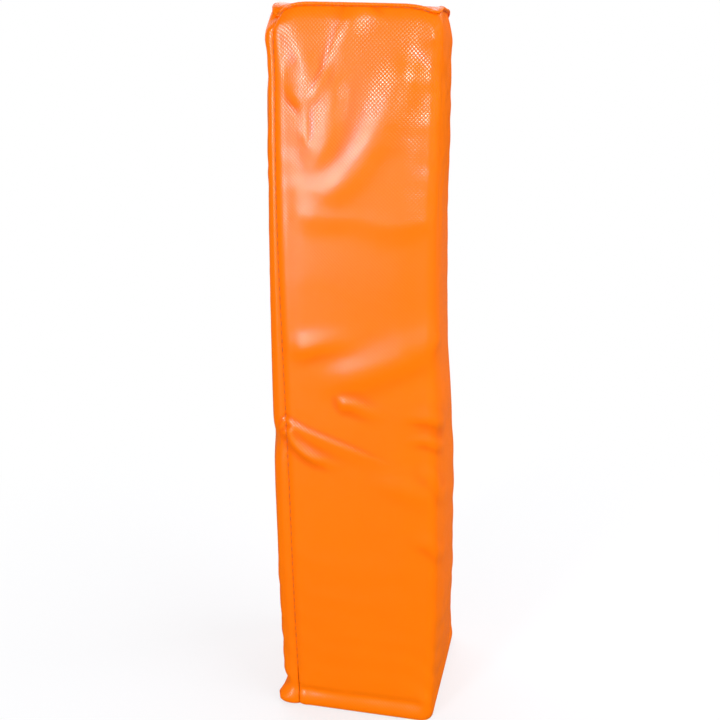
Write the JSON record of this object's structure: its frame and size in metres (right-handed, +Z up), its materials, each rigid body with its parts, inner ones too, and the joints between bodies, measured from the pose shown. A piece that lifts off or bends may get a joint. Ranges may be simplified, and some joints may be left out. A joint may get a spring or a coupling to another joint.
{
  "type": "football end zone pylon",
  "caption": "Soft weighted corner marker for a football end zone: a sewn orange vinyl cover over a foam block with a sand pouch in its base.",
  "frame": {"origin": "middle of the bottom panel's underside, on the ground", "axes": "+Z up along the pylon, -Y out of the front, whose left corner carries the cover's one upright seam"},
  "size_m": [0.1049, 0.1039, 0.4572],
  "materials": {
    "vinyl": "satin PVC coating over a woven polyester",
    "thread": "bonded polyester thread",
    "foam": "open-cell polyurethane foam",
    "pouch_film": "woven polypropylene film",
    "sand": "dry sand"
  },
  "bodies": {
    "root": {"cover_wrap": "vinyl", "top_panel": "vinyl", "bottom_panel": "vinyl", "side_seam_thread": "thread", "top_seam_thread": "thread", "bottom_seam_thread": "thread", "foam_core": "foam", "ballast_pouch_body": "pouch_film", "ballast_pouch_lid": "pouch_film", "ballast_sand": "sand"}
  },
  "joints": []
}
